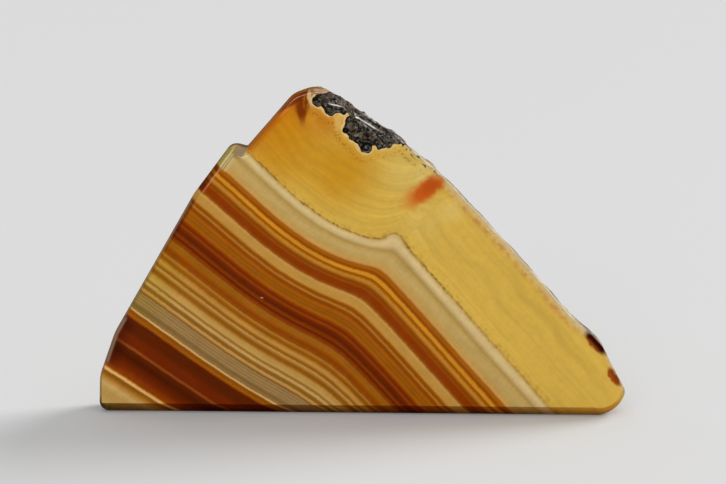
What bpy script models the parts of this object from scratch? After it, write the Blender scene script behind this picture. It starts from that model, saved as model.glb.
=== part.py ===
"""A polished agate slice that stands on its long cut edge.

One stone: a flat slab with two polished faces, chamfered cut edges along the foot and the left side,
a step where the clear band stands proud, and the nodule's own rough skin down the right side.
The front is -Y, Z is up, and the origin is at the middle of the foot.
"""

import math

import bmesh
import bpy
from mathutils import Vector, geometry, noise

MM = 0.001

# Driving dimensions, in millimetres
THICKNESS = 7.0
FOOT_CHAMFER = 1.5
SHOULDER_CHAMFER = 0.9
SIDE_CHAMFER = 0.4
TIP_CHAMFER = 0.5
STEP_CHAMFER = 1.5
ARC_STEP = math.radians(14)

# The sawn blank, anticlockwise seen from the front: x, z, fillet radius, chamfer before and after the corner.
# Between two corners the chamfer runs evenly from the one to the next.
# Along the skin the blank is left oversize, and the skin cutter brings it down to its true line.
BLANK_CORNERS = [
    (-42.8, 0.0, 1.65, SIDE_CHAMFER, FOOT_CHAMFER),
    (42.7, 0.0, 4.9, FOOT_CHAMFER, TIP_CHAMFER),
    (42.7, 13.5, 2.0, TIP_CHAMFER, TIP_CHAMFER),
    (14.4, 42.2, 5.0, TIP_CHAMFER, TIP_CHAMFER),
    (-1.4, 53.0, 2.0, TIP_CHAMFER, TIP_CHAMFER),
    (-8.9, 52.75, 5.0, TIP_CHAMFER, TIP_CHAMFER),
    (-11.7, 51.7, 4.0, TIP_CHAMFER, TIP_CHAMFER),
    (-19.0, 43.2, 0.3, TIP_CHAMFER, STEP_CHAMFER),
    (-21.5, 43.8, 1.9, STEP_CHAMFER, SHOULDER_CHAMFER),
    (-27.4, 35.8, 8.0, SHOULDER_CHAMFER, SHOULDER_CHAMFER),
    (-40.2, 13.2, 9.0, SIDE_CHAMFER, SIDE_CHAMFER),
    (-42.7, 6.0, 7.0, SIDE_CHAMFER, SIDE_CHAMFER),
]

# The line of the natural skin, from under the lower right corner up to the tip
SKIN_LINE = [
    (44.4, 1.4),
    (43.0, 3.8),
    (42.3, 5.1),
    (41.1, 7.0),
    (40.0, 9.0),
    (39.1, 11.0),
    (37.5, 12.9),
    (35.4, 14.5),
    (32.5, 17.5),
    (25.5, 25.3),
    (17.9, 33.3),
    (13.1, 38.2),
    (7.8, 42.9),
    (2.5, 46.8),
    (-0.4, 48.8),
    (-3.0, 50.5),
    (-4.9, 51.75),
    (-6.3, 52.6),
    (-8.6, 53.7),
]
SKIN_STEP = 0.62
SKIN_ROWS = 13
SKIN_COARSE, SKIN_FINE = 0.22, 0.13
CUTTER_DEPTH = 6.0

# Where the faces fall away to dark skin: x, z, radius and depth of each lump, in millimetres
FRONT_LUMPS = [
    (-7.4, 51.0, 1.05, 0.5),
    (-6.1, 50.9, 1.30, 0.7),
    (-5.6, 49.7, 1.05, 0.6),
    (-4.4, 50.4, 1.30, 0.8),
    (-3.4, 49.7, 0.95, 0.8),
    (-5.1, 51.5, 1.15, 1.3),
    (-3.8, 50.9, 1.20, 1.6),
    (-2.5, 50.1, 1.20, 1.6),
    (-1.3, 49.3, 1.15, 1.5),
    (0.0, 48.4, 1.25, 1.6),
    (1.3, 47.5, 1.25, 1.7),
    (2.6, 46.6, 1.20, 1.6),
    (3.8, 45.7, 1.10, 1.4),
    (4.9, 44.9, 0.85, 1.0),
    (-2.1, 47.8, 1.15, 0.6),
    (-2.4, 46.5, 1.20, 0.5),
    (-1.2, 45.7, 1.45, 0.7),
    (-0.7, 47.3, 1.50, 0.9),
    (0.1, 43.8, 1.20, 0.6),
    (0.8, 45.6, 1.60, 0.9),
    (2.4, 44.7, 1.45, 0.8),
    (3.7, 44.6, 1.05, 0.8),
]
BACK_LUMPS = [
    (-6.4, 51.6, 1.10, 0.8),
    (-5.1, 51.3, 1.30, 1.3),
    (-3.7, 50.6, 1.30, 1.5),
    (-2.4, 49.9, 1.10, 1.3),
    (-1.1, 49.0, 1.20, 1.4),
    (0.2, 48.0, 1.40, 1.6),
    (1.6, 47.1, 1.30, 1.5),
    (2.9, 46.4, 1.00, 1.1),
]
LUMP_VOXEL = 0.36
LUMP_ROUGHNESS = 0.22


def clear_scene():
    for obj in list(bpy.data.objects):
        bpy.data.objects.remove(obj)


def new_collection(name):
    collection = bpy.data.collections.new(name)
    bpy.context.scene.collection.children.link(collection)
    return collection


def new_object(name, bm, collection):
    mesh = bpy.data.meshes.new(name)
    bm.to_mesh(mesh)
    bm.free()
    obj = bpy.data.objects.new(name, mesh)
    collection.objects.link(obj)
    return obj


def stone_material():
    material = bpy.data.materials.new("polished_agate")
    material.use_nodes = True
    shader = material.node_tree.nodes["Principled BSDF"]
    shader.inputs["Base Color"].default_value = (0.55, 0.27, 0.06, 1.0)
    shader.inputs["Roughness"].default_value = 0.12
    shader.inputs["Metallic"].default_value = 0.0
    return material


def filleted_outline(corners):
    """Stations round the outline, each a point, its outward normal and its chamfer, in millimetres."""
    stations = []
    count = len(corners)
    for i, (x, z, radius, chamfer_before, chamfer_after) in enumerate(corners):
        corner = Vector((x, z))
        before = Vector(corners[i - 1][:2])
        after = Vector(corners[(i + 1) % count][:2])
        way_in = (corner - before).normalized()
        way_out = (after - corner).normalized()
        turn = way_in.angle_signed(way_out) * -1.0
        reach = radius * math.tan(abs(turn) / 2.0)
        side = 1.0 if turn > 0 else -1.0
        start = corner - way_in * reach
        centre = start + Vector((-way_in.y, way_in.x)) * radius * side
        steps = max(2, round(abs(turn) / ARC_STEP))
        first_normal = Vector((way_in.y, -way_in.x))
        for k in range(steps + 1):
            share = k / steps
            angle = turn * share
            normal = Vector((
                first_normal.x * math.cos(angle) - first_normal.y * math.sin(angle),
                first_normal.x * math.sin(angle) + first_normal.y * math.cos(angle),
            ))
            point = centre + normal * radius * side
            chamfer = chamfer_before + (chamfer_after - chamfer_before) * share
            stations.append((point, normal, chamfer))
    return stations


def fill(outline):
    """Triangles that fill a closed line, each as the places of its corners in the line."""
    corners = list(range(len(outline)))
    filled = geometry.delaunay_2d_cdt(outline, [], [corners], 1, 1e-5)
    triangles, origins = filled[2], filled[3]
    return [[origins[corner][0] for corner in triangle] for triangle in triangles]


def build_blank(collection):
    """The sawn slab, a ring of points at each edge of its two chamfers."""
    stations = filleted_outline(BLANK_CORNERS)
    count = len(stations)
    bm = bmesh.new()
    rings = [[], [], [], []]
    for point, normal, chamfer in stations:
        inner = point - normal * chamfer
        face_y, side_y = THICKNESS / 2.0, THICKNESS / 2.0 - chamfer
        for ring, place, y in zip(rings, (inner, point, point, inner), (-face_y, -side_y, side_y, face_y)):
            ring.append(bm.verts.new((place.x, y, place.y)))
    for triangle in fill([Vector((v.co.x, v.co.z)) for v in rings[0]]):
        bm.faces.new([rings[0][i] for i in triangle])
        bm.faces.new([rings[3][i] for i in reversed(triangle)])
    for front, back in zip(rings, rings[1:]):
        for i in range(count):
            after = (i + 1) % count
            bm.faces.new((front[after], front[i], back[i], back[after]))
    bmesh.ops.triangulate(bm, faces=bm.faces)
    bmesh.ops.recalc_face_normals(bm, faces=bm.faces)
    bmesh.ops.scale(bm, vec=(MM, MM, MM), verts=bm.verts)
    return new_object("agate_slice", bm, collection)


def smooth_line(points, step):
    """Points about step apart on a Catmull-Rom curve through the given ones."""
    knots = [Vector(p) for p in points]
    knots = [knots[0] * 2 - knots[1], *knots, knots[-1] * 2 - knots[-2]]
    line = []
    for a, b, c, d in zip(knots, knots[1:], knots[2:], knots[3:]):
        pieces = max(1, round((c - b).length / step))
        for k in range(pieces):
            t = k / pieces
            line.append(0.5 * (
                b * 2.0 + (c - a) * t + (a * 2.0 - b * 5.0 + c * 4.0 - d) * t * t
                + (b * 3.0 - a - c * 3.0 + d) * t * t * t
            ))
    line.append(knots[-2])
    return line


def skin_relief(x, y, z):
    """How far the natural skin stands out from its line, in millimetres."""
    coarse = noise.noise(Vector((x, y, z)) / 3.4) * 2.0
    fine = noise.noise(Vector((x, y + 40.0, z)) / 1.1) * 2.0
    roughness = min(max((z - 8.0) / 12.0, 0.25), 1.0)
    return (SKIN_COARSE * coarse + SKIN_FINE * fine) * roughness


def build_skin_cutter(collection):
    """A grid bent along the skin line and roughened, then drawn outwards into a thick block."""
    line = smooth_line(SKIN_LINE, SKIN_STEP)
    bm = bmesh.new()
    grid = bmesh.ops.create_grid(bm, x_segments=len(line) - 1, y_segments=SKIN_ROWS - 1, size=0.5)
    for vert in grid["verts"]:
        i = round((vert.co.x + 0.5) * (len(line) - 1))
        y = vert.co.y * (THICKNESS + 3.0)
        ahead = line[min(i + 1, len(line) - 1)] - line[max(i - 1, 0)]
        outward = Vector((ahead.y, -ahead.x)).normalized()
        point = line[i] + outward * skin_relief(line[i].x, y, line[i].y)
        vert.co = Vector((point.x, y, point.y)) * MM
    grown = bmesh.ops.extrude_face_region(bm, geom=list(bm.faces), use_keep_orig=True)["geom"]
    outer = [v for v in grown if isinstance(v, bmesh.types.BMVert)]
    bmesh.ops.translate(bm, vec=Vector((1.0, 0.0, 1.0)) * CUTTER_DEPTH * MM, verts=outer)
    bmesh.ops.triangulate(bm, faces=bm.faces)
    bmesh.ops.recalc_face_normals(bm, faces=bm.faces)
    return new_object("skin_cutter", bm, collection)


def build_lump_cutter(name, lumps, face_y, collection):
    """Overlapping lumps, run together and roughened, whose lower halves bite into one face."""
    bm = bmesh.new()
    for x, z, radius, depth in lumps:
        ball = bmesh.ops.create_icosphere(bm, subdivisions=2, radius=1.0)
        size = Vector((radius, depth, radius)) * MM
        bmesh.ops.scale(bm, vec=size, verts=ball["verts"])
        place = Vector((x, face_y, z)) * MM
        bmesh.ops.translate(bm, vec=place, verts=ball["verts"])
    cutter = new_object(name, bm, collection)
    remesh = cutter.modifiers.new("run_together", "REMESH")
    remesh.mode = "VOXEL"
    remesh.voxel_size = LUMP_VOXEL * MM
    grain = bpy.data.textures.new(name + "_grain", "CLOUDS")
    grain.noise_scale = 0.9 * MM
    rough = cutter.modifiers.new("roughen", "DISPLACE")
    rough.texture = grain
    rough.texture_coords = "GLOBAL"
    rough.strength = LUMP_ROUGHNESS * MM
    cutter.modifiers.new("triangles", "TRIANGULATE")
    return cutter


def cut(stone, cutter):
    """The manifold solver, because the exact one loses the whole stone on the run-together lumps."""
    cutter.hide_render = True
    cutter.display_type = "WIRE"
    modifier = stone.modifiers.new(cutter.name, "BOOLEAN")
    modifier.operation = "DIFFERENCE"
    modifier.solver = "MANIFOLD"
    modifier.object = cutter


def main():
    clear_scene()
    parts = new_collection("agate_slice")
    cutters = new_collection("cutters")
    stone = build_blank(parts)
    stone.data.materials.append(stone_material())
    half = THICKNESS / 2.0
    cut(stone, build_lump_cutter("front_hollows", FRONT_LUMPS, -half, cutters))
    cut(stone, build_lump_cutter("back_hollows", BACK_LUMPS, half, cutters))
    cut(stone, build_skin_cutter(cutters))


main()
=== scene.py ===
import math
import bmesh
import bpy
from mathutils import Matrix, Vector, geometry, noise


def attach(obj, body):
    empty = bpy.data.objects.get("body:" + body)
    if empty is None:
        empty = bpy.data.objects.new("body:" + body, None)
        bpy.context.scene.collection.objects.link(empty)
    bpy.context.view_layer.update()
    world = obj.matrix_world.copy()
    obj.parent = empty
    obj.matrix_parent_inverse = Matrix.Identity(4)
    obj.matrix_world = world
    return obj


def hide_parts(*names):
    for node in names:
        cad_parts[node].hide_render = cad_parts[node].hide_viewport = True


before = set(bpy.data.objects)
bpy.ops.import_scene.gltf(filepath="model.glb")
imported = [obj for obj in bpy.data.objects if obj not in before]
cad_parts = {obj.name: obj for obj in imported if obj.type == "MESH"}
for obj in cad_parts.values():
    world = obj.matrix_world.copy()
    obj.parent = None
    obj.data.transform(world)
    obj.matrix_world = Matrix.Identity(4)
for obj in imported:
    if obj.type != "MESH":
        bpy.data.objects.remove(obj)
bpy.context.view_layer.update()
mm = 0.001
print("frame loaded")

# Colours as they look on the finished stone, in 0 to 255
palette = {
    # the bands
    "milk": (211, 185, 130), "cream": (206, 178, 122), "sand": (192, 160, 98),
    "warmSand": (191, 154, 84), "paleSand": (202, 170, 106), "oat": (186, 154, 84),
    "shadedSand": (174, 142, 78), "peach": (196, 148, 78), "honey": (176, 118, 40),
    "gold": (192, 126, 34), "brightGold": (204, 136, 32), "amber": (160, 90, 8),
    "darkAmber": (144, 76, 5), "rust": (138, 62, 5), "darkRust": (135, 54, 3),
    "oxblood": (112, 38, 3), "redBrown": (90, 33, 4), "umber": (76, 26, 3), "copper": (140, 68, 24),
    "ochre": (150, 92, 20), "darkOchre": (132, 82, 20), "dimOchre": (134, 95, 34),
    "buff": (188, 144, 76), "paleBuff": (202, 160, 96), "goldBuff": (187, 138, 62),
    "fawn": (161, 128, 79), "drab": (141, 109, 62), "darkDrab": (126, 95, 50),
    "lightLine": (214, 162, 96), "brightLine": (228, 172, 100),
    # the clear yellow part and its contact line
    "orangeGold": (193, 116, 14), "yellowGold": (196, 139, 24), "softGold": (207, 168, 71),
    "straw": (207, 176, 90), "paleStraw": (210, 184, 106), "creamGold": (226, 188, 112),
    "dotBrown": (112, 80, 28),
    # tones along the cut edges, with painted glow of light through the stone and painted edge highlights
    "glow": (200, 106, 12), "brightGlow": (242, 142, 58), "edgeRed": (98, 28, 4),
    "wedgeRed": (114, 38, 3), "edgeAmber": (152, 80, 20), "edgeHighlight": (152, 124, 100),
    "edgeDark": (70, 22, 8), "nearBlack": (46, 12, 6), "pinkHighlight": (196, 118, 84),
    "streakRed": (104, 60, 30),
    # spots
    "spotOrange": (193, 80, 16), "spotCore": (174, 66, 10), "spotTail": (206, 112, 34),
    "spotBrown": (130, 60, 12), "spotDark": (52, 7, 1), "spotRust": (132, 56, 13),
    "spotAmber": (152, 72, 15), "speck": (214, 150, 130),
    # the grey clear cap, and the crust on the tip
    "capShade": (96, 92, 62), "capWarm": (158, 128, 80), "capGrey": (141, 126, 99),
    "capStraw": (205, 188, 122), "capOlive": (143, 130, 68), "crustTan": (184, 152, 116),
    "crustPink": (176, 132, 100),
    # the rim beside the skin and the hollows
    "rimCream": (202, 180, 134), "rimBrown": (110, 92, 66), "rimPink": (206, 150, 84),
    "rimRust": (188, 132, 64), "halo": (222, 190, 136), "trailBrown": (172, 100, 18),
    # the glassy hollows, with glints painted on them
    "ink": (22, 18, 8), "inkGreen": (38, 35, 21), "hollowBrown": (92, 76, 54),
    "stoneGrey": (120, 102, 88), "paleGlint": (196, 190, 184), "glint": (226, 222, 216),
    # the natural skin
    "skinTan": (186, 160, 120), "skinGrey": (132, 122, 108), "skinCream": (206, 190, 156),
    "skinDark": (62, 50, 38), "skinWhite": (206, 196, 176), "skinRust": (160, 96, 44),
    # the floor
    "floor": (208, 208, 208),
}


def colour(name):
    parts = [channel / 255.0 for channel in palette[name]]
    linear = [c / 12.92 if c <= 0.04045 else ((c + 0.055) / 1.055) ** 2.4 for c in parts]
    return (*linear, 1.0)


# A number or a colour on its way through a node tree, so that formulas can be written out
class wire:
    def __init__(self, socket):
        self.socket = socket


def plug(socket, value):
    if isinstance(value, str):
        value = colour(value)
    if isinstance(value, wire):
        socket.id_data.links.new(value.socket, socket)
    else:
        socket.default_value = value


def newNode(kind, *values):
    tree = next(v.socket.id_data for v in values if isinstance(v, wire))
    return tree.nodes.new(kind)


def calc(operation, *values):
    node = newNode("ShaderNodeMath", *values)
    node.operation = operation
    for socket, value in zip(node.inputs, values):
        plug(socket, value)
    return wire(node.outputs[0])


arithmetic = {"add": "ADD", "sub": "SUBTRACT", "mul": "MULTIPLY", "truediv": "DIVIDE"}
for method, operation in arithmetic.items():
    setattr(wire, f"__{method}__", lambda a, b, operation=operation: calc(operation, a, b))
    setattr(wire, f"__r{method}__", lambda a, b, operation=operation: calc(operation, b, a))


def ramp(value, low, high, start=0.0, end=1.0):  # an eased step from start at low to end at high
    node = newNode("ShaderNodeMapRange", value)
    node.interpolation_type = "SMOOTHSTEP"
    for socket, number in zip(node.inputs, (value, low, high, start, end)):
        plug(socket, number)
    return wire(node.outputs[0])


def line(value, centre, width):  # 1 on the centre, falling to 0 at the width on either side
    return ramp(calc("ABSOLUTE", value - centre), width, 0.0)


def vector(x, y, z):
    node = newNode("ShaderNodeCombineXYZ", x, y, z)
    for socket, value in zip(node.inputs, (x, y, z)):
        plug(socket, value)
    return wire(node.outputs[0])


def cloud(point, scale, detail=2.0, rough=0.5):  # soft noise from about 0.2 to 0.8
    node = newNode("ShaderNodeTexNoise", point)
    plug(node.inputs["Vector"], point)
    plug(node.inputs["Scale"], scale)
    plug(node.inputs["Detail"], detail)
    plug(node.inputs["Roughness"], rough)
    return wire(node.outputs["Fac"])


def mix(share, under, over):
    node = newNode("ShaderNodeMix", share, under, over)
    node.data_type = "RGBA"
    plug(node.inputs[0], share)
    plug(node.inputs[6], under)
    plug(node.inputs[7], over)
    return wire(node.outputs[2])


def shade(tone, brightness):  # a colour made lighter or darker
    node = newNode("ShaderNodeVectorMath", tone, brightness)
    node.operation = "SCALE"
    plug(node.inputs[0], tone)
    plug(node.inputs["Scale"], brightness)
    return wire(node.outputs[0])


def tinted(tone, tint):
    node = newNode("ShaderNodeMix", tone)
    node.data_type = "RGBA"
    node.blend_type = "MULTIPLY"
    plug(node.inputs[0], 1.0)
    plug(node.inputs[6], tone)
    plug(node.inputs[7], tint)
    return wire(node.outputs[2])


def newMaterial(name):
    material = bpy.data.materials.new(name)
    material.use_nodes = True
    nodes = material.node_tree.nodes
    shader = nodes["Principled BSDF"]
    place = nodes.new("ShaderNodeTexCoord")
    parted = nodes.new("ShaderNodeSeparateXYZ")
    scaled = nodes.new("ShaderNodeVectorMath")
    scaled.operation = "SCALE"
    scaled.inputs["Scale"].default_value = 1.0 / mm
    links = material.node_tree.links
    links.new(place.outputs["Object"], scaled.inputs[0])
    links.new(scaled.outputs[0], parted.inputs[0])
    point = wire(scaled.outputs[0])
    x, y, z = (wire(output) for output in parted.outputs)
    facing = nodes.new("ShaderNodeSeparateXYZ")
    links.new(place.outputs["Normal"], facing.inputs[0])
    return material, shader, point, (x, y, z), wire(facing.outputs[1])


def bumpFrom(shader, height, strength, distance):
    node = newNode("ShaderNodeBump", height)
    plug(node.inputs["Strength"], strength)
    plug(node.inputs["Distance"], distance * mm)
    plug(node.inputs["Height"], height)
    plug(shader.inputs["Normal"], wire(node.outputs[0]))


# The shape of the slab, in millimetres, as the model has it but finer
slab = {
    "thickness": 7.0, "footChamfer": 1.5, "shoulderChamfer": 0.9, "sideChamfer": 0.4, "tipChamfer": 0.5,
    "stepChamfer": 1.5, "edgeRounding": 0.11, "arcStep": math.radians(6), "sharpAngle": math.radians(38),
}
foot, shoulder, side = slab["footChamfer"], slab["shoulderChamfer"], slab["sideChamfer"]
tip, step = slab["tipChamfer"], slab["stepChamfer"]
half = slab["thickness"] / 2.0
# Anticlockwise seen from the front: x, z, fillet radius, chamfer before and after the corner
slab["corners"] = [
    (-42.8, 0.0, 1.65, side, foot), (42.7, 0.0, 4.9, foot, tip), (42.7, 13.5, 2.0, tip, tip),
    (14.4, 42.2, 5.0, tip, tip), (-1.4, 53.0, 2.0, tip, tip), (-8.9, 52.75, 5.0, tip, tip),
    (-11.7, 51.7, 4.0, tip, tip), (-19.0, 43.2, 0.3, tip, step), (-21.5, 43.8, 1.9, step, shoulder),
    (-27.4, 35.8, 8.0, shoulder, shoulder), (-40.2, 13.2, 9.0, side, side), (-42.7, 6.0, 7.0, side, side),
]
skin = {  # the natural skin down the right side
    "route": [
        (43.4, 1.0), (42.75, 3.4), (42.25, 4.9), (41.1, 7.0), (40.0, 9.0), (39.1, 11.0), (37.5, 12.9),
        (35.4, 14.5), (32.5, 17.5), (25.5, 25.3), (17.9, 33.3), (13.1, 38.2), (7.8, 42.9), (2.5, 46.8),
        (-0.4, 48.8), (-3.0, 50.5), (-4.9, 51.75), (-6.3, 52.6), (-8.6, 53.7),
    ],
    "step": 0.19, "rows": 52, "cutterDepth": 6.0, "overhang": 3.0,
    # height of each kind of roughness, and the size of its lumps
    "coarse": 0.24, "coarseSize": 3.4, "fine": 0.10, "fineSize": 1.1,
    "grain": 0.02, "grainSize": 0.42, "pits": 0.12, "pitSize": 0.8, "pitsFrom": 0.22,
    "roughFrom": 34.0, "roughOver": 7.0, "straightPart": 0.35,  # the rough part begins at this height
}
hollows = {  # where the faces fall away to dark skin: x, z, radius and depth of each lump
    "front": [
        (-7.4, 51.0, 1.05, 0.5), (-6.1, 50.9, 1.30, 0.7), (-5.6, 49.7, 1.05, 0.6),
        (-4.4, 50.4, 1.30, 0.8), (-3.4, 49.7, 0.95, 0.8), (-5.1, 51.5, 1.15, 1.3),
        (-3.8, 50.9, 1.20, 1.6), (-2.5, 50.1, 1.20, 1.6),
        (-1.3, 49.3, 1.15, 1.5), (0.0, 48.4, 1.25, 1.6), (1.3, 47.5, 1.25, 1.7), (2.6, 46.6, 1.20, 1.6),
        (3.8, 45.7, 1.10, 1.4), (4.9, 44.9, 0.85, 1.0), (-2.1, 47.8, 1.15, 0.6), (-2.4, 46.5, 1.20, 0.5),
        (-1.2, 45.7, 1.45, 0.7), (-0.7, 47.3, 1.50, 0.9), (0.1, 43.8, 1.20, 0.6), (0.8, 45.6, 1.60, 0.9),
        (2.4, 44.7, 1.45, 0.8), (3.7, 44.6, 1.05, 0.8),
    ],
    "back": [
        (-6.4, 51.6, 1.10, 0.8), (-5.1, 51.3, 1.30, 1.3), (-3.7, 50.6, 1.30, 1.5),
        (-2.4, 49.9, 1.10, 1.3), (-1.1, 49.0, 1.20, 1.4), (0.2, 48.0, 1.40, 1.6),
        (1.6, 47.1, 1.30, 1.5), (2.9, 46.4, 1.00, 1.1),
    ],
    "voxel": 0.12, "roughness": 0.40, "roughSize": 0.8, "scallop": 0.05, "scallopSize": 0.95,
}


def newObject(name, bm):
    mesh = bpy.data.meshes.new(name)
    bm.to_mesh(mesh)
    bm.free()
    made = bpy.data.objects.new(name, mesh)
    bpy.context.scene.collection.objects.link(made)
    return made


def evaluatedMesh(source):
    bpy.context.view_layer.update()
    graph = bpy.context.evaluated_depsgraph_get()
    return bpy.data.meshes.new_from_object(source.evaluated_get(graph), depsgraph=graph)


def filletedOutline(corners):
    stations = []
    for i, (x, z, radius, chamferBefore, chamferAfter) in enumerate(corners):
        corner = Vector((x, z))
        wayIn = (corner - Vector(corners[i - 1][:2])).normalized()
        wayOut = (Vector(corners[(i + 1) % len(corners)][:2]) - corner).normalized()
        turn = -wayIn.angle_signed(wayOut)
        bendSide = 1.0 if turn > 0 else -1.0
        start = corner - wayIn * radius * math.tan(abs(turn) / 2.0)
        centre = start + Vector((-wayIn.y, wayIn.x)) * radius * bendSide
        steps = max(2, round(abs(turn) / slab["arcStep"]))
        for k in range(steps + 1):
            share = k / steps
            outward = Matrix.Rotation(turn * share, 2) @ Vector((wayIn.y, -wayIn.x))
            chamfer = chamferBefore + (chamferAfter - chamferBefore) * share
            stations.append((centre + outward * radius * bendSide, outward, chamfer))
    return stations


def edgeProfile(chamfer):  # from the polished face round to the cut side: how far in, and how far down
    rounding = slab["edgeRounding"]
    slant = rounding * math.sqrt(0.5)
    middle = chamfer + (rounding - slant) / 4.0
    return [
        (chamfer + rounding, 0.0), (middle, slant / 4.0), (chamfer - slant, slant),
        (slant, chamfer - slant), (slant / 4.0, middle), (0.0, chamfer + rounding),
    ]


def buildSlab():
    stations = filletedOutline(slab["corners"])
    bm = bmesh.new()
    rows = []
    for point, outward, chamfer in stations:
        profile = edgeProfile(chamfer)
        front = [(inset, down - half) for inset, down in profile]
        back = [(inset, half - down) for inset, down in profile[::-1]]
        places = [(point - outward * inset, y) for inset, y in front + back]
        rows.append([bm.verts.new(Vector((place.x, y, place.y)) * mm) for place, y in places])
    for here, after in zip(rows, rows[1:] + rows[:1]):
        for i in range(len(here) - 1):
            bm.faces.new((after[i], here[i], here[i + 1], after[i + 1]))
    rim = [Vector((row[0].co.x, row[0].co.z)) / mm for row in rows]
    filled = geometry.delaunay_2d_cdt(rim, [], [list(range(len(rim)))], 1, 1e-5)
    for triangle in filled[2]:
        corners = [rows[filled[3][corner][0]] for corner in triangle]
        bm.faces.new([row[0] for row in corners])
        bm.faces.new([row[-1] for row in reversed(corners)])
    bmesh.ops.triangulate(bm, faces=bm.faces)
    bmesh.ops.recalc_face_normals(bm, faces=bm.faces)
    return newObject("agateSlice", bm)


def smoothLine(points, spacing):  # a curve through the points, with a station every spacing or so
    knots = [Vector(p) for p in points]
    knots = [knots[0] * 2 - knots[1], *knots, knots[-1] * 2 - knots[-2]]
    stations = []
    for a, b, c, d in zip(knots, knots[1:], knots[2:], knots[3:]):
        pieces = max(1, round((c - b).length / spacing))
        for k in range(pieces):
            t = k / pieces
            bend = (a * 2.0 - b * 5.0 + c * 4.0 - d) * t * t + (b * 3.0 - a - c * 3.0 + d) * t * t * t
            stations.append(0.5 * (b * 2.0 + (c - a) * t + bend))
    stations.append(knots[-2])
    return stations


def skinRelief(x, y, z):
    coarse = noise.noise(Vector((x, y, z)) / skin["coarseSize"]) * 2.0
    fine = noise.noise(Vector((x, y + 40.0, z)) / skin["fineSize"]) * 2.0
    rough = min(max((z - skin["roughFrom"]) / skin["roughOver"], skin["straightPart"]), 1.0)
    grain = noise.noise(Vector((x, y, z)) / skin["grainSize"]) * 2.0
    pit = max(0.0, noise.noise(Vector((x + 9.0, y, z)) / skin["pitSize"]) - skin["pitsFrom"])
    waves = (skin["coarse"] * coarse + skin["fine"] * fine) * rough
    return waves + skin["grain"] * grain - skin["pits"] * pit


def buildSkinCutter():
    route = smoothLine(skin["route"], skin["step"])
    bm = bmesh.new()
    last = len(route) - 1
    grid = bmesh.ops.create_grid(bm, x_segments=last, y_segments=skin["rows"], size=0.5)
    for vert in grid["verts"]:
        i = round((vert.co.x + 0.5) * last)
        y = vert.co.y * (2.0 * half + skin["overhang"])
        ahead = route[min(i + 1, last)] - route[max(i - 1, 0)]
        outward = Vector((ahead.y, -ahead.x)).normalized()
        point = route[i] + outward * skinRelief(route[i].x, y, route[i].y)
        vert.co = Vector((point.x, y, point.y)) * mm
    grown = bmesh.ops.extrude_face_region(bm, geom=list(bm.faces), use_keep_orig=True)["geom"]
    outer = [v for v in grown if isinstance(v, bmesh.types.BMVert)]
    bmesh.ops.translate(bm, vec=Vector((1.0, 0.0, 1.0)) * skin["cutterDepth"] * mm, verts=outer)
    bmesh.ops.triangulate(bm, faces=bm.faces)
    bmesh.ops.recalc_face_normals(bm, faces=bm.faces)
    return newObject("skinCutter", bm)


def buildHollowCutter(name, lumps, faceY):
    bm = bmesh.new()
    for x, z, radius, depth in lumps:
        ball = bmesh.ops.create_icosphere(bm, subdivisions=3, radius=1.0)
        bmesh.ops.scale(bm, vec=Vector((radius, depth, radius)) * mm, verts=ball["verts"])
        bmesh.ops.translate(bm, vec=Vector((x, faceY, z)) * mm, verts=ball["verts"])
    rough = newObject(name + "Rough", bm)
    remesh = rough.modifiers.new("runTogether", "REMESH")
    remesh.mode = "VOXEL"
    remesh.voxel_size = hollows["voxel"] * mm
    bm = bmesh.new()
    bm.from_mesh(evaluatedMesh(rough))
    bpy.data.objects.remove(rough)
    bm.normal_update()
    shifts = []
    for vert in bm.verts:
        p = vert.co / mm
        broad = noise.noise(p / hollows["roughSize"]) * hollows["roughness"]
        knobs = (0.5 - noise.voronoi(p / hollows["scallopSize"])[0][0]) * hollows["scallop"]
        shifts.append(vert.normal * (broad + knobs) * mm)
    for vert, shift in zip(bm.verts, shifts):
        vert.co += shift
    bmesh.ops.triangulate(bm, faces=bm.faces)
    return newObject(name, bm)


def buildStone():
    stone = buildSlab()
    cutters = [
        buildHollowCutter("frontHollows", hollows["front"], -half),
        buildHollowCutter("backHollows", hollows["back"], half),
        buildSkinCutter(),
    ]
    for material in (polishedAgate(), hollowLining(), naturalSkin()):
        for made in (stone, *cutters):
            made.data.materials.append(material)
    for cutter, index in zip(cutters, (1, 1, 2)):
        for polygon in cutter.data.polygons:
            polygon.material_index = index
        cut = stone.modifiers.new(cutter.name, "BOOLEAN")
        cut.operation = "DIFFERENCE"
        cut.solver = "MANIFOLD"
        cut.object = cutter
    mesh = evaluatedMesh(stone)
    for made in (stone, *cutters):
        bpy.data.objects.remove(made)
    mesh.shade_smooth()
    mesh.set_sharp_from_angle(angle=slab["sharpAngle"])
    for polygon in mesh.polygons:  # the two polished planes stay dead flat
        polygon.use_smooth = abs(polygon.normal.y) < 0.9999
    finished = bpy.data.objects.new("agateSlice", mesh)
    bpy.context.scene.collection.objects.link(finished)
    counts = [sum(p.material_index == i for p in mesh.polygons) for i in range(3)]
    print("stone built,", len(mesh.polygons), "faces; polished, hollow, skin:", counts)
    return finished


bands = {  # how the growth layers lie, seen from the front, in millimetres and degrees
    "leftLobe": {"slope": 30.8, "x": -6.6, "z": 30.7, "curve": 0.0337, "opening": 43.6, "skew": 0.0255},
    "rightLobe": {"slope": 48.1, "x": 2.2, "z": 30.5, "first": 0.826, "second": 0.0062},
    "fold": {"sharp": 0.53, "softer": 0.122},
    "cusp": {"x": 4.8, "z": 30.0, "radius": 1.3, "lift": 1.5},
    "tilt": 0.12,  # how far the layers slant backward, per millimetre
    "sway": 0.16, "tremor": 0.16, "deeper": 0.33,
    "contact": -1.32, "dotWidth": (0.14, 0.36),  # the dotted line between the bands and the clear part
    "fineLines": 0.20, "hairLines": (0.08, 0.24), "fibres": 0.16, "patches": 0.28, "blur": 0.16,
}
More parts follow.
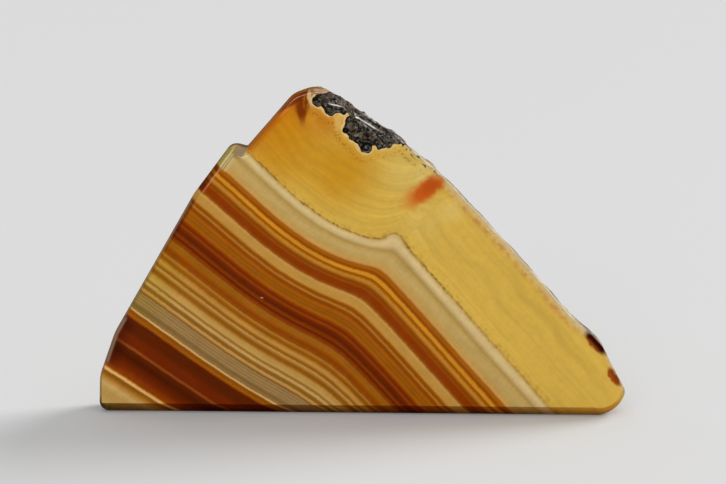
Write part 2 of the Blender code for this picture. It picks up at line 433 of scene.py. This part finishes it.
# Depth below the contact line in millimetres, and the colour there
bandColours = [
    (-3.2, "warmSand"), (-1.7, "warmSand"), (-1.25, "warmSand"), (-1.0, "paleSand"), (-0.7, "milk"),
    (-0.25, "cream"), (0.28, "shadedSand"), (0.45, "shadedSand"), (0.75, "oat"), (1.4, "sand"),
    (2.2, "oat"), (2.75, "peach"), (3.0, "peach"), (3.3, "amber"), (3.65, "amber"), (3.93, "rust"),
    (4.13, "amber"), (4.32, "brightGold"), (4.65, "brightGold"), (4.85, "darkAmber"),
    (5.1, "amber"), (5.35, "gold"), (5.65, "honey"), (5.9, "darkAmber"), (6.2, "rust"),
    (6.45, "darkAmber"), (6.7, "darkRust"), (7.3, "darkRust"), (7.65, "rust"), (7.9, "ochre"),
    (8.15, "peach"), (8.4, "goldBuff"), (8.7, "goldBuff"), (9.1, "goldBuff"), (9.35, "goldBuff"),
    (9.55, "honey"), (9.75, "darkAmber"), (10.1, "darkAmber"), (10.35, "honey"),
    (10.6, "darkAmber"), (10.9, "rust"), (11.3, "amber"), (11.8, "darkAmber"), (12.0, "ochre"),
    (12.2, "darkAmber"), (12.7, "amber"), (13.1, "darkRust"), (13.5, "oxblood"), (13.75, "rust"),
    (13.95, "darkRust"), (14.2, "oxblood"), (14.8, "redBrown"), (15.35, "darkRust"),
    (15.7, "redBrown"), (16.1, "darkRust"), (16.4, "rust"), (16.6, "ochre"), (16.78, "ochre"),
    (17.0, "ochre"), (17.3, "amber"), (17.7, "darkAmber"), (18.0, "rust"), (18.6, "darkAmber"),
    (18.9, "honey"), (19.15, "ochre"), (19.5, "darkAmber"), (19.85, "honey"), (20.1, "goldBuff"),
    (20.35, "goldBuff"), (20.7, "ochre"), (20.95, "ochre"), (21.2, "buff"), (21.45, "honey"),
    (21.8, "darkOchre"), (22.2, "ochre"), (22.6, "goldBuff"), (23.0, "buff"), (23.3, "oat"),
    (23.7, "ochre"), (23.95, "buff"), (24.15, "paleBuff"), (24.5, "dimOchre"), (24.9, "ochre"),
    (25.1, "buff"), (25.3, "buff"), (25.6, "darkOchre"), (25.9, "fawn"), (26.1, "drab"),
    (26.3, "fawn"), (26.55, "drab"), (26.8, "fawn"), (27.0, "drab"), (27.25, "fawn"),
    (27.45, "drab"), (27.8, "darkDrab"), (28.1, "drab"), (28.35, "drab"), (28.5, "lightLine"),
    (28.65, "lightLine"), (28.8, "darkOchre"), (29.1, "darkAmber"), (29.5, "amber"), (29.7, "rust"),
    (29.9, "redBrown"), (31.2, "redBrown"), (32.2, "oxblood"), (32.9, "oxblood"), (33.3, "oxblood"),
    (33.5, "copper"), (33.7, "copper"), (33.95, "redBrown"), (35.0, "umber"), (36.5, "oxblood"),
    (37.2, "darkRust"), (37.8, "rust"), (38.0, "honey"), (38.15, "brightLine"),
    (38.38, "brightLine"), (38.6, "darkOchre"), (39.0, "ochre"), (39.4, "honey"), (39.9, "buff"),
    (40.3, "paleBuff"), (40.8, "oat"), (41.3, "buff"), (42.5, "oat"),
]


def colourRamp(value, stops):  # one ramp takes 32 stops, so a longer list runs on over several
    chain = None
    for first in range(0, len(stops) - 1, 31):
        part = stops[first:first + 32]
        low, high = part[0][0], part[-1][0]
        node = newNode("ShaderNodeValToRGB", value)
        plug(node.inputs[0], (value - low) / (high - low))
        elements = node.color_ramp.elements
        for place, name in part[1:-1]:
            elements.new((place - low) / (high - low)).color = colour(name)
        elements[0].color = colour(part[0][1])
        elements[-1].color = colour(part[-1][1])
        tone = wire(node.outputs[0])
        chain = tone if chain is None else mix(calc("GREATER_THAN", value, low), chain, tone)
    return chain


def layerDepth(x, y, z, point):
    left, right, fold, cusp = bands["leftLobe"], bands["rightLobe"], bands["fold"], bands["cusp"]
    cosine, sine = math.cos(math.radians(left["slope"])), math.sin(math.radians(left["slope"]))
    along = (x - left["x"]) * cosine - (z - left["z"]) * sine
    across = (x - left["x"]) * -sine - (z - left["z"]) * cosine
    bend = along * along * (0.5 * left["curve"]) * (1.0 + along * left["skew"])
    leftDepth = (across + bend) / (1.0 + bend / left["opening"])
    cosine, sine = math.cos(math.radians(right["slope"])), math.sin(math.radians(right["slope"]))
    across = (x - right["x"]) * -sine - (z - right["z"]) * cosine
    rightDepth = across * right["first"] + across * across * right["second"]
    nearest = calc("MAXIMUM", calc("MINIMUM", leftDepth, rightDepth), 0.0)
    rounding = nearest * fold["softer"] + fold["sharp"]
    gap = leftDepth - rightDepth
    depth = (leftDepth + rightDepth - calc("SQRT", gap * gap + rounding * rounding)) * 0.5
    fromCusp = (x - cusp["x"]) * (x - cusp["x"]) + (z - cusp["z"]) * (z - cusp["z"])
    lift = calc("EXPONENT", fromCusp / (-2.0 * cusp["radius"] ** 2)) * cusp["lift"]
    sway = (cloud(point, 0.07, 1.0) - 0.5) * bands["sway"]
    sway = sway + (cloud(point, 0.6, 2.0) - 0.5) * bands["tremor"]
    deeper = ramp(depth, 9.0, 25.0, 0.0, bands["deeper"])
    return depth + deeper + lift + (y + half) * bands["tilt"] + sway, leftDepth, rightDepth


def skinDistance(x, z):  # how far a point lies inside the line of the natural skin
    along = (x - z) * math.sqrt(0.5)
    outward = (x + z) * math.sqrt(0.5)
    low, high, base, reach = -46.0, 32.0, 30.0, 8.0
    node = newNode("ShaderNodeFloatCurve", along)
    curve = node.mapping.curves[0]
    knots = sorted(((px - pz) * math.sqrt(0.5), (px + pz) * math.sqrt(0.5)) for px, pz in skin["route"])
    for where, out in knots[1:-1]:
        curve.points.new((where - low) / (high - low), (out - base) / reach)
    curve.points[0].location = (0.0, (knots[0][1] - base) / reach)
    curve.points[-1].location = (1.0, (knots[-1][1] - base) / reach)
    node.mapping.update()
    plug(node.inputs["Value"], (along - low) / (high - low))
    return wire(node.outputs[0]) * reach + base - outward


def patch(x, z, centre, radii, slope=0.0, soft=0.4):  # 1 inside an ellipse, 0 outside
    cosine, sine = math.cos(math.radians(slope)), math.sin(math.radians(slope))
    along = ((x - centre[0]) * cosine + (z - centre[1]) * sine) / radii[0]
    across = ((z - centre[1]) * cosine - (x - centre[0]) * sine) / radii[1]
    return ramp(calc("SQRT", along * along + across * across), 1.0 + soft, 1.0 - soft)


clearAgate = {  # the yellow part above the contact line
    "base": "softGold",
    "pools": [  # x, z, radius, strength and colour of each soft pool
        (-14.0, 48.0, 12.0, 1.0, "orangeGold"), (-12.5, 43.0, 9.0, 0.7, "yellowGold"),
        (-4.0, 40.0, 9.0, 0.9, "yellowGold"), (6.5, 39.5, 5.5, 0.85, "straw"),
        (9.5, 39.3, 3.0, 0.6, "paleStraw"), (-6.0, 47.5, 3.5, 0.6, "orangeGold"),
        (9.5, 32.0, 5.5, 0.6, "straw"), (14.0, 33.5, 3.0, 0.5, "paleStraw"),
    ],
    "seam": {"x": 4.3, "z": 29.2, "slope": 60.0, "fade": 0.45, "lift": 2.8},  # where the two lobes meet
    "ringSpacing": 2.1, "rings": 0.36, "streakSpacing": 0.55, "streaks": 0.38, "drift": 2.5,
}


def mixValue(share, under, over):
    return under + (over - under) * share


def clearColour(x, z, leftDepth, rightDepth, point):
    tone = clearAgate["base"]
    for px, pz, radius, strength, name in clearAgate["pools"]:
        dx = (x - px) / radius
        dz = (z - pz) / radius
        tone = mix(ramp(calc("SQRT", dx * dx + dz * dz), 1.0, 0.15, 0.0, strength), tone, name)
    inRight = ramp(leftDepth - rightDepth, -0.4, 0.4)
    along = mixValue(inRight, leftDepth, rightDepth)
    seam = clearAgate["seam"]
    cosine, sine = math.cos(math.radians(seam["slope"])), math.sin(math.radians(seam["slope"]))
    fromSeam = calc("ABSOLUTE", (x - seam["x"]) * sine - (z - seam["z"]) * cosine)
    along = along + calc("EXPONENT", fromSeam * -seam["fade"]) * seam["lift"]  # the rings turn up there
    drift = (cloud(point, 0.12, 1.0) - 0.5) * clearAgate["drift"]
    place = vector(along * clearAgate["ringSpacing"] + drift, inRight * 7.0, x * 0.05)
    rings = cloud(place, 1.0, 3.0, 0.65)
    place = vector(along * clearAgate["streakSpacing"] + drift, inRight * 3.0, x * 0.03)
    streaks = cloud(place, 1.0, 1.0)
    brightness = (rings - 0.5) * clearAgate["rings"] + (streaks - 0.5) * clearAgate["streaks"] + 1.0
    return shade(tone, brightness)


marks = {  # soft spots and stains: centre, radii, slope, softness, strength, colour
    "tail of the red spot": ((8.0, 35.7), (2.3, 1.45), 44.0, 0.55, 0.60, "spotTail"),
    "red spot": ((9.8, 36.95), (2.85, 1.55), 36.0, 0.42, 0.90, "spotOrange"),
    "core of the red spot": ((10.8, 37.75), (1.9, 1.0), 38.0, 0.55, 0.60, "spotCore"),
    "speck": ((-16.4, 19.1), (0.24, 0.10), -8.0, 0.5, 0.75, "speck"),
    "cream between the hollows": ((-4.3, 47.5), (0.52, 1.25), -16.0, 0.60, 0.50, "creamGold"),
    "cream left of the hollows": ((-8.75, 51.35), (0.34, 1.25), 8.0, 0.45, 0.75, "halo"),
    "red streak under the crust": ((-7.3, 52.15), (1.2, 0.28), -8.0, 0.5, 0.9, "streakRed"),
}
crust = {  # the tan crust over the tip, on the face and its chamfer
    "place": ((-6.75, 52.6), (1.8, 0.62), -6.0, 0.35),
}
skinSpots = {  # where the skin stains the rim: centre, radii, slope, colour at the rim and further in
    "upper": ((37.6, 12.2), (2.35, 0.98), -49.0, "spotDark", "spotBrown"),
    "lower": ((40.6, 6.6), (1.7, 0.66), -56.0, "spotRust", "spotAmber"),
}
clearCap = {  # the grey clear corner at the step, and the streaks that run down from it
    "facet": ((-20.05, 42.75), (1.35, 0.90), 60.0),
    "streaks": ((-22.2, 41.2), (2.3, 1.15), 54.0),
    "streakColours": [
        (0.0, "capShade"), (0.30, "capOlive"), (0.55, "capOlive"), (0.75, "capStraw"), (0.90, "capStraw"),
        (1.05, "capShade"), (1.25, "capStraw"), (1.45, "capOlive"), (1.7, "cream"), (2.2, "sand"),
    ],
}


def lineGap(x, z, start, end):  # how far a point lies to the right of the line from start to end
    run = (Vector(end) - Vector(start)).normalized()
    return (x - start[0]) * run.y - (z - start[1]) * run.x


def leftEdgeGap(x, z):
    route = [corner[:2] for corner in slab["corners"][8:]] + [slab["corners"][0][:2]]
    nearest = None
    for upper, lower in zip(route, route[1:]):
        gap = lineGap(x, z, lower, upper)
        nearest = gap if nearest is None else calc("MINIMUM", nearest, gap)
    return nearest


def hollowGap(x, z, lumps):
    flat = vector(x, 0.0, z)
    nearest = None
    for px, pz, radius, _ in lumps:
        node = newNode("ShaderNodeVectorMath", flat)
        node.operation = "DISTANCE"
        plug(node.inputs[0], flat)
        plug(node.inputs[1], (px, 0.0, pz))
        gap = wire(node.outputs["Value"]) - radius
        nearest = gap if nearest is None else calc("MINIMUM", nearest, gap)
    return nearest


def growthColour(x, z, depths, point):  # the bands, the contact line and the clear part above it
    depth, leftDepth, rightDepth = depths
    lines = cloud(vector(depth * 3.1, x * 0.06, z * 0.06), 1.0, 2.0, 0.6)
    hairLines = cloud(vector(depth * 7.0, x * 0.09, z * 0.09 + 5.0), 1.0, 1.0)
    hairStrength = ramp(depth, 15.5, 17.5, *bands["hairLines"]) * ramp(depth, 28.6, 28.2, 0.35, 1.0)
    alongBands = x * 0.77 - z * 0.64
    fibres = cloud(vector(alongBands * 1.9, depth * 0.45, 0.0), 1.0, 2.0)
    patchy = cloud(vector(alongBands * 0.22, depth * 0.8, 3.0), 1.0, 2.0)
    banded = colourRamp(depth + (fibres - 0.5) * bands["blur"], bandColours)
    strength = 1.0 + (lines - 0.5) * bands["fineLines"] + (hairLines - 0.5) * hairStrength
    strength = strength + (fibres - 0.5) * bands["fibres"] + (patchy - 0.5) * bands["patches"]
    contact = bands["contact"]
    clear = clearColour(x, z, leftDepth, rightDepth, point)
    tone = mix(ramp(depth, contact - 0.10, contact + 0.10), clear, shade(banded, strength))
    dots = cloud(vector(depth * 0.9, x * 1.35, z * 1.35), 1.0, 2.0)
    strong = cloud(vector(0.0, x * 0.3, z * 0.3), 1.0, 2.0)
    width = ramp(dots, 0.36, 0.66, *bands["dotWidth"])
    dotted = ramp(calc("ABSOLUTE", depth - contact) / width, 1.0, 0.25)
    dotted = dotted * ramp(dots, 0.34, 0.60, 0.35, 1.0) * ramp(strong, 0.34, 0.62, 0.38, 0.75)
    tone = mix(dotted * ramp(z, 8.0, 27.0, 0.50, 1.0), tone, "dotBrown")  # fainter toward the foot
    inside = line(depth, contact - 0.5, 0.4) * ramp(dots, 0.5, 0.62) * 0.25
    return mix(inside, tone, "ochre")


upperEdge = {  # red wedge, painted glow of light through the stone, and painted edge highlight beside the upper left edge
    "wedge": {"x": -10.1, "heights": (46.0, 49.0), "widths": (0.50, 2.0), "strength": 0.94},
    "glow": {"reach": 1.9, "strengths": (0.45, 0.85)},
    "bright": {"place": ((-12.75, 49.25), (1.25, 0.22), 49.0, 0.5), "strength": 0.80},
    "edgeRed": {"widths": (0.10, 2.3), "strength": 0.92},
    "edgeAmber": 0.55, "edgeHighlight": 0.35,
}


def tipTonesGlowAndHighlight(tone, x, z, depth, point):
    wedge, glow, bright, red = (upperEdge[part] for part in ("wedge", "glow", "bright", "edgeRed"))
    gap = lineGap(x, z, slab["corners"][7][:2], slab["corners"][6][:2])
    blot = cloud(point, 0.8, 2.0) - 0.5
    clear = ramp(depth, -1.3, -1.9)
    width = ramp(z, 46.8, 52.2, *wedge["widths"])
    inWedge = ramp(calc("ABSOLUTE", x - wedge["x"] + blot * 0.6) / width, 1.3, 0.35)
    inWedge = inWedge * ramp(z + blot, *wedge["heights"])
    tone = mix(inWedge * wedge["strength"], tone, "wedgeRed")
    # painted glow of light shining through the stone along the upper left edge, with a brighter painted
    # spot
    inGlow = ramp(gap, glow["reach"], 0.35) * clear * ramp(z, 43.5, 49.5, *glow["strengths"])
    tone = mix(inGlow, tone, "glow")
    tone = mix(patch(x, z, *bright["place"]) * bright["strength"], tone, "brightGlow")
    inRed = ramp(gap / ramp(z, 48.2, 52.0, *red["widths"]), 1.15, 0.55) * ramp(z, 47.6, 49.6) * clear
    tone = mix(inRed * red["strength"], tone, "edgeRed")
    tone = mix(ramp(gap, 1.5, 0.4) * clear * upperEdge["edgeAmber"], tone, "edgeAmber")
    # a thin painted highlight right on the upper cut edge
    return mix(ramp(gap, 0.30, 0.10) * clear * upperEdge["edgeHighlight"], tone, "edgeHighlight")


lowerEdge = {  # strength of the darker tones, painted highlights and green tint along the cut edge below the step
    "shoulder": 0.66, "pinkHighlight": 0.75, "belowShoulder": 0.45, "darkBands": 0.50,
    "highlightOnDark": 0.70, "highlightOnPale": 0.60, "green": 0.60, "greenTint": (0.92, 1.02, 0.50, 1.0),
}


def leftEdgeTonesAndHighlights(tone, x, z, depth):
    gap = leftEdgeGap(x, z)
    paleBand = ramp(depth, 7.7, 8.1) * ramp(depth, 9.9, 9.5)
    atShoulder = ramp(z, 33.6, 35.2) * ramp(depth, 3.1, 3.5) * (1.0 - paleBand)
    tone = mix(ramp(gap, 1.05, 0.45) * atShoulder * lowerEdge["shoulder"], tone, "edgeDark")
    # a thin pink painted highlight along the line where the face meets its chamfer
    onLine = line(gap, 1.0, 0.18) * atShoulder
    tone = mix(onLine * ramp(z, 41.0, 38.0, 0.35, lowerEdge["pinkHighlight"]), tone, "pinkHighlight")
    belowShoulder = ramp(z, 35.4, 34.0) * ramp(depth, 19.0, 13.0, 0.0, lowerEdge["belowShoulder"])
    tone = mix(ramp(gap, 1.1, 0.5) * belowShoulder, tone, "edgeDark")
    darkBands = ramp(depth, 29.8, 30.6) * ramp(depth, 37.8, 37.0)
    tone = mix(ramp(gap, 3.2, 0.9) * darkBands * lowerEdge["darkBands"], tone, "nearBlack")
    cutSide = ramp(z, 2.2, 4.0) * ramp(z, 36.5, 33.5)
    # a painted highlight along the left cut edge, over the dark bands and over the pale ones
    onDark = ramp(gap, 0.85, 0.40) * cutSide * darkBands
    tone = mix(onDark * lowerEdge["highlightOnDark"], tone, "edgeHighlight")
    onPale = ramp(gap, 0.48, 0.20) * cutSide * (1.0 - darkBands)
    tone = mix(onPale * lowerEdge["highlightOnPale"], tone, "edgeHighlight")
    greener = ramp(gap, 7.5, 1.0) * ramp(depth, 13.5, 19.0) * ramp(depth, 29.0, 28.0)
    return mix(greener * lowerEdge["green"], tone, tinted(tone, lowerEdge["greenTint"]))


rimLayers = {  # the skin seen through the rim: how far in each colour lies, how wide and how strong
    "ochre": (1.55, 0.42, 0.60), "rimRust": (1.0, 0.80, 1.0), "rimPink": (1.0, 0.60, 0.35),
    "rimBrown": (0.30, 0.22, 0.28), "paleStrip": 0.42, "inkBlobs": 0.95,
}


def rimLayer(tone, name, gap, share):
    middle, width, strength = rimLayers[name]
    return mix(line(gap, middle, width) * share * strength, tone, name)


def rimOfSkin(tone, x, z, point):
    blotch = cloud(point, 1.9, 2.0)
    broad = cloud(point, 0.45, 2.0)
    gap = skinDistance(x, z) + (cloud(point, 1.1, 2.0) - 0.5) * 0.4
    specks = ramp(cloud(point, 2.8, 2.0), 0.42, 0.60) * ramp(broad, 0.38, 0.58, 0.4, 1.0)
    straight = ramp(z, 39.5, 36.5) * ramp(z, 11.0, 16.0)
    tone = rimLayer(tone, "ochre", gap, specks * ramp(z, 36.0, 40.0))
    tone = mix(ramp(gap, 1.4, 0.5) * straight * rimLayers["paleStrip"], tone, "rimCream")
    mottled = ramp(cloud(point, 1.3, 2.0), 0.36, 0.60) * ramp(broad, 0.40, 0.58, 0.35, 0.9)
    tone = rimLayer(tone, "rimRust", gap, mottled * straight)
    tone = rimLayer(tone, "rimPink", gap, specks * straight)
    tone = mix(ramp(gap, 0.62, 0.30) * ramp(broad, 0.3, 0.6, 0.5, 0.8), tone, "rimCream")
    tone = rimLayer(tone, "rimBrown", gap, ramp(blotch, 0.46, 0.58))
    lumps = cloud(point, 0.85, 1.0)
    blobs = ramp(gap, 0.85, 0.45) * ramp(lumps, 0.52, 0.57) * ramp(z, 38.5, 41.0)
    return mix(blobs * rimLayers["inkBlobs"], tone, "ink")


hollowEdge = {  # a brown trail and a thin pale halo round the hollows
    "trail": (1.25, 0.65), "trailStrengths": (0.35, 0.75),
    "halo": (0.42, 0.16), "haloStrengths": (0.50, 0.75),
}


def hollowSurround(tone, x, y, z, point):
    blotch = cloud(point, 1.6, 2.0)
    onFront = calc("LESS_THAN", y, 0.0)
    gap = hollowGap(x, z, hollows["front"]) + (blotch - 0.5) * 0.8
    grains = ramp(cloud(point, 2.6, 2.0), 0.44, 0.58)
    trail = line(gap, *hollowEdge["trail"]) * ramp(x, 1.0, -3.0, *hollowEdge["trailStrengths"])
    tone = mix(trail * grains * onFront, tone, "trailBrown")
    halo = ramp(gap, *hollowEdge["halo"]) * ramp(x, 2.0, -4.0, *hollowEdge["haloStrengths"])
    return mix(halo * onFront, tone, "halo")


stoneIor = 1.54
polish = {"roughness": (0.07, 0.13), "onChamfers": 0.06, "wearSize": 0.5}
chamferShade = {  # the chamfers show less light through the stone, and least of all at the left
    "footHeight": (1.62, 1.46), "left": 0.40, "middle": 0.66, "right": 0.92,
    "tint": (0.94, 0.68, 0.46, 1.0),
}


def shadedChamfers(tone, x, z, onChamfer):
    footStrip = ramp(z, *chamferShade["footHeight"]) * ramp(x, 40.0, 37.0)
    left, middle, right = (chamferShade[part] for part in ("left", "middle", "right"))
    brightness = ramp(x, -42.0, -30.0, left, middle) + ramp(x, 18.0, 40.0, 0.0, right - middle)
    inCorner = ramp(x - z * 0.5, -42.9, -41.6, 0.45, 1.0)
    towardFloor = ramp(z, 0.1, 1.4, 0.60, 1.0)
    deep = tinted(shade(tone, brightness * inCorner * towardFloor), chamferShade["tint"])
    return mix(calc("MAXIMUM", footStrip, onChamfer * ramp(z, 3.2, 1.6, 0.28, 1.0)), tone, deep)


def clearCapAndCrust(tone, x, y, z, depth, point):  # these look the same on the face and on its chamfer
    wander = cloud(point, 0.7, 1.0) - 0.5
    streaks = colourRamp(leftEdgeGap(x, z) + wander * 0.3, clearCap["streakColours"])
    inStreaks = patch(x, z, *clearCap["streaks"], 0.25) * ramp(depth, 3.5, 3.0)
    tone = mix(inStreaks * 0.8, tone, streaks)
    capTone = mix(ramp(cloud(point, 0.9, 2.0), 0.35, 0.65), "capGrey", "capWarm")
    tone = mix(patch(x + wander * 0.6, z, *clearCap["facet"], 0.16) * 0.92, tone, capTone)
    crustTone = mix(ramp(cloud(point, 1.6, 3.0), 0.42, 0.62), "crustTan", "crustPink")
    onTip = patch(x + wander, z, *crust["place"]) * calc("LESS_THAN", y, 0.0)
    return mix(onTip * 0.9, tone, crustTone)


def polishedAgate():
    material, shader, point, (x, y, z), facing = newMaterial("polishedAgate")
    depths = layerDepth(x, y, z, point)
    depth = depths[0]
    plain = growthColour(x, z, depths, point)
    # edge tones, with painted glow and painted highlights along the cut edges
    edgeTonedAndLit = tipTonesGlowAndHighlight(leftEdgeTonesAndHighlights(plain, x, z, depth), x, z, depth, point)
    facing = calc("ABSOLUTE", facing)
    tone = mix(ramp(facing, 0.25, 0.5), plain, edgeTonedAndLit)  # the cut sides show plain bands
    tone = rimOfSkin(tone, x, z, point)
    tone = hollowSurround(tone, x, y, z, point)
    ragged = (cloud(point, 0.45, 2.0) - 0.5) * 1.3
    for centre, radii, slope, soft, strength, name in marks.values():
        shift = ragged * min(1.0, radii[1])
        tone = mix(patch(x + shift, z - shift, centre, radii, slope, soft) * strength, tone, name)
    gap = skinDistance(x, z)
    torn = (cloud(point, 0.8, 2.0) - 0.5) * 1.1
    for centre, radii, slope, atRim, further in skinSpots.values():
        stain = mix(ramp(gap + torn * 0.4, 0.45, 1.10), atRim, further)
        tone = mix(patch(x + torn, z + torn * 0.6, centre, radii, slope, 0.30), tone, stain)
    onChamfer = ramp(facing, 0.97, 0.75)
    tone = shadedChamfers(tone, x, z, onChamfer)
    tone = clearCapAndCrust(tone, x, y, z, depth, point)
    small, large = cloud(point, 2.4, 3.0, 0.6) - 0.5, cloud(point, 0.8, 2.0) - 0.5
    tone = shade(tone, 1.0 + small * 0.14 + large * 0.14)
    plug(shader.inputs["Base Color"], tone)
    wear = cloud(point, polish["wearSize"], 3.0)
    roughness = ramp(wear, 0.3, 0.7, *polish["roughness"]) + onChamfer * polish["onChamfers"]
    plug(shader.inputs["Roughness"], roughness)
    shader.inputs["IOR"].default_value = stoneIor
    return material


glassySkin = {  # the dark skin in the hollows
    "glints": [  # centre, half length and half width, slope
        ((-4.85, 50.22), (1.05, 0.10), -13.0), ((0.55, 47.15), (1.65, 0.11), -31.0),
        ((1.35, 47.85), (1.55, 0.11), -27.0), ((5.9, 44.55), (0.9, 0.10), -38.0),
        ((-1.2, 48.2), (0.45, 0.12), -25.0),
    ],
    "shadows": [
        ((1.00, 47.50), (1.8, 0.16), -29.0), ((-5.3, 49.85), (1.5, 0.20), -14.0),
        ((0.2, 43.6), (0.9, 1.2), 60.0),
    ],
    "roughness": (0.22, 0.42), "bump": 0.30, "bumpDepth": 0.08,
}


def glassyColour(x, y, z, point):
    gap = skinDistance(x, z)
    lumps = cloud(point, 0.6, 2.0)
    mottle = cloud(point, 1.5, 3.0, 0.6)
    onFront = ramp(y, -1.2, -1.9)
    tone = mix(ramp(mottle, 0.42, 0.6), "ink", "inkGreen")
    tone = mix(ramp(lumps, 0.42, 0.56) * ramp(mottle, 0.42, 0.58) * 0.7, tone, "hollowBrown")
    rim = ramp(gap + (lumps - 0.5) * 3.4, 1.5, 0.4)
    greyer = ramp(cloud(point, 0.38, 2.0), 0.42, 0.58, 0.35, 0.95)
    tone = mix(rim * ramp(mottle, 0.40, 0.56) * greyer, tone, "stoneGrey")
    # painted glints: pale lines along the folds, with dark lines between them
    folds = cloud(vector((x - z) * 0.16, (x + z) * 2.1, y * 0.7), 1.0, 1.0)
    tone = mix(line(folds, 0.44, 0.035) * ramp(gap, 2.6, 1.4) * 0.8, tone, "ink")
    tone = mix(line(folds, 0.57, 0.025) * ramp(gap, 2.4, 1.2) * 0.5, tone, "paleGlint")
    for centre, radii, slope in glassySkin["shadows"]:
        tone = mix(patch(x, z, centre, radii, slope, 0.35) * onFront * 0.85, tone, "ink")
    onTop = ramp(gap, 0.55, 0.25) * ramp(x, -1.0, 0.0) * ramp(x, 4.4, 3.4)
    wobble = (lumps - 0.5) * 0.8
    tone = mix(line(y + wobble, -2.5, 0.9) * onTop * 0.9, tone, "ink")
    tone = mix(line(y + wobble, -1.1, 0.5) * onTop * ramp(mottle, 0.40, 0.56) * 0.6, tone, "glint")
    for centre, radii, slope in glassySkin["glints"]:
        tone = mix(patch(x, z, centre, radii, slope, 0.35) * onFront, tone, "glint")
    return tone, mottle


def hollowLining():
    material, shader, point, (x, y, z), _ = newMaterial("hollowLining")
    tone, mottle = glassyColour(x, y, z, point)
    plug(shader.inputs["Base Color"], tone)
    plug(shader.inputs["Roughness"], ramp(mottle, 0.35, 0.65, *glassySkin["roughness"]))
    shader.inputs["IOR"].default_value = stoneIor
    bumpFrom(shader, mottle, glassySkin["bump"], glassySkin["bumpDepth"])
    return material


skinFinish = {
    "rust": 0.60, "white": 0.80, "grey": 0.60, "darkBehind": (0.25, 0.50), "stains": 0.90,
    "roughness": (0.45, 0.75), "specular": 0.12, "bump": 0.25, "bumpDepth": 0.08,
}


def naturalSkin():
    material, shader, point, (x, y, z), _ = newMaterial("naturalSkin")
    broad = cloud(point, 0.22, 2.0)
    blotch = cloud(point, 0.9, 3.0, 0.6)
    grain = cloud(point, 3.0, 2.0)
    tone = mix(ramp(broad, 0.4, 0.6), "skinCream", "skinTan")
    tone = mix(ramp(blotch, 0.54, 0.68) * skinFinish["rust"], tone, "skinRust")
    tone = mix(ramp(blotch, 0.44, 0.32) * skinFinish["white"], tone, "skinWhite")
    tone = mix(ramp(grain, 0.58, 0.70) * skinFinish["grey"], tone, "skinGrey")
    backward = y + (blotch - 0.5) * 2.0
    middle, back = skinFinish["darkBehind"]
    darker = ramp(backward, -1.5, 0.8) * middle + ramp(backward, 1.5, 2.3) * back
    tone = mix(darker, tone, "skinDark")
    glassy, mottle = glassyColour(x, y, z, point)
    upper = ramp(z + (broad - 0.5) * 6.0, 41.0, 44.0) * ramp(x, -6.6, -5.2)
    tone = mix(upper, tone, glassy)
    for centre, radii, slope, atRim, further in skinSpots.values():
        spread = ramp(y + (broad - 0.5) * 6.0 + (blotch - 0.5) * 4.0, 1.6, -0.8)
        stain = patch(x + (blotch - 0.5) * 2.0, z, centre, (radii[0], 2.0), slope, 0.4) * spread
        tone = mix(stain * skinFinish["stains"], tone, atRim)
    tone = shade(tone, 1.0 + (grain - 0.5) * 0.35)
    plug(shader.inputs["Base Color"], tone)
    plug(shader.inputs["Roughness"], ramp(blotch, 0.3, 0.7, *skinFinish["roughness"]) - upper * 0.3)
    shader.inputs["IOR"].default_value = stoneIor
    shader.inputs["Specular IOR Level"].default_value = skinFinish["specular"]
    bumpFrom(shader, grain, skinFinish["bump"], skinFinish["bumpDepth"])
    return material


stone = buildStone()
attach(stone, "root")
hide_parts("agate_slice")

studio = {
    "floorSize": 9.0, "floorGap": 0.00003, "floorRoughness": 0.9, "floorSpecular": 0.1,
    "worldLight": 0.62,
    "windowLight": {"turn": 53.0, "height": 28.5, "strength": 2.48, "softness": 38.0},
    "frontLight": {"turn": -168.0, "height": 24.0, "strength": 1.25, "softness": 34.0},
}


def buildFloor():
    bm = bmesh.new()
    bmesh.ops.create_grid(bm, x_segments=2, y_segments=2, size=studio["floorSize"] / 2.0)
    floor = newObject("floor", bm)
    floor.location.z = -studio["floorGap"]
    material = bpy.data.materials.new("paperFloor")
    material.use_nodes = True
    shader = material.node_tree.nodes["Principled BSDF"]
    shader.inputs["Base Color"].default_value = colour("floor")
    shader.inputs["Roughness"].default_value = studio["floorRoughness"]
    shader.inputs["Specular IOR Level"].default_value = studio["floorSpecular"]
    floor.data.materials.append(material)
    floor.visible_glossy = False


def buildLights():
    world = bpy.data.worlds.new("studio")
    bpy.context.scene.world = world
    world.use_nodes = True
    background = world.node_tree.nodes["Background"]
    background.inputs["Color"].default_value = (1.0, 1.0, 1.0, 1.0)
    background.inputs["Strength"].default_value = studio["worldLight"]
    world.cycles_visibility.glossy = False
    for name in ("windowLight", "frontLight"):
        values = studio[name]
        lamp = bpy.data.lights.new(name, "SUN")
        lamp.energy = values["strength"]
        lamp.angle = math.radians(values["softness"])
        made = bpy.data.objects.new(name, lamp)
        bpy.context.scene.collection.objects.link(made)
        tiltBack = Matrix.Rotation(math.radians(90.0 - values["height"]), 4, "X")
        made.matrix_world = Matrix.Rotation(math.radians(180.0 - values["turn"]), 4, "Z") @ tiltBack


view = {
    "lens": 100.0, "sensor": 36.0, "clip": (0.01, 30.0),
    "target": (-0.2, -3.5, 28.33), "distance": 323.7, "down": 8.0, "roll": 0.53,
}


def buildCamera():
    camera = bpy.data.objects.new("camera", bpy.data.cameras.new("camera"))
    bpy.context.scene.collection.objects.link(camera)
    camera.data.lens = view["lens"]
    camera.data.sensor_width = view["sensor"]
    camera.data.clip_start, camera.data.clip_end = view["clip"]
    look = Matrix.Rotation(math.radians(90.0 - view["down"]), 4, "X")
    look = look @ Matrix.Rotation(math.radians(view["roll"]), 4, "Z")
    back = look @ Vector((0.0, 0.0, view["distance"]))
    camera.matrix_world = Matrix.Translation((Vector(view["target"]) + back) * mm) @ look
    bpy.context.scene.camera = camera


buildFloor()
buildLights()
buildCamera()
bpy.context.scene.view_settings.view_transform = "Standard"
print("studio ready")
